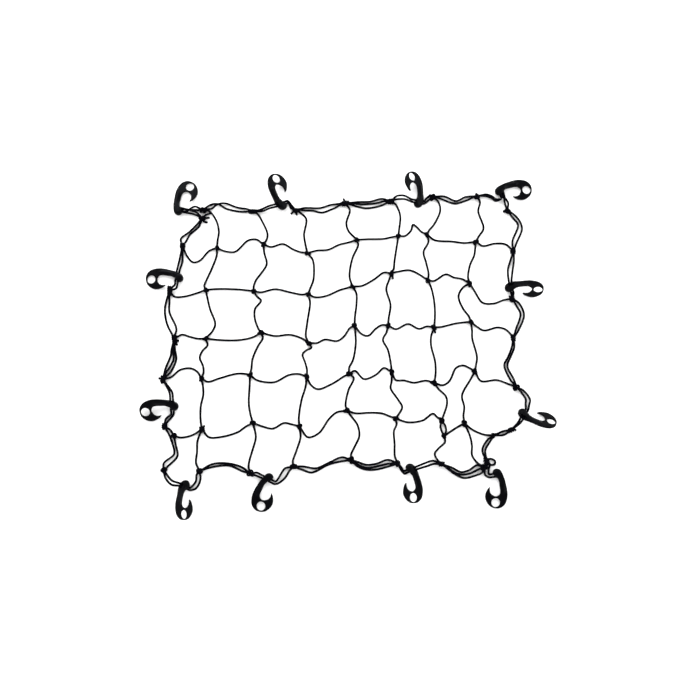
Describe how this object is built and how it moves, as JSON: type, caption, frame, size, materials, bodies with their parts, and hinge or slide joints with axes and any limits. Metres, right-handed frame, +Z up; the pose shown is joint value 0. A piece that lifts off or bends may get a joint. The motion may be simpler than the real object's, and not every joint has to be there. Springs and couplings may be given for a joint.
{
  "type": "cargo net",
  "caption": "Elastic cord cargo net laid out flat: knotted square mesh, doubled cord border and moulded plastic J hooks round the edge.",
  "frame": {"origin": "middle of the footprint at floor level", "axes": "+X along the long side, +Y across the net, +Z up out of the floor"},
  "size_m": [0.7774, 0.6642, 0.0362],
  "materials": {
    "cord": "matt braided sheath",
    "hook": "moulded, low sheen"
  },
  "bodies": {
    "root": {"net": "cord", "hook_01": "hook", "hook_02": "hook", "hook_03": "hook", "hook_04": "hook", "hook_05": "hook", "hook_06": "hook", "hook_07": "hook", "hook_08": "hook", "hook_09": "hook", "hook_10": "hook", "hook_11": "hook", "hook_12": "hook"}
  },
  "joints": []
}
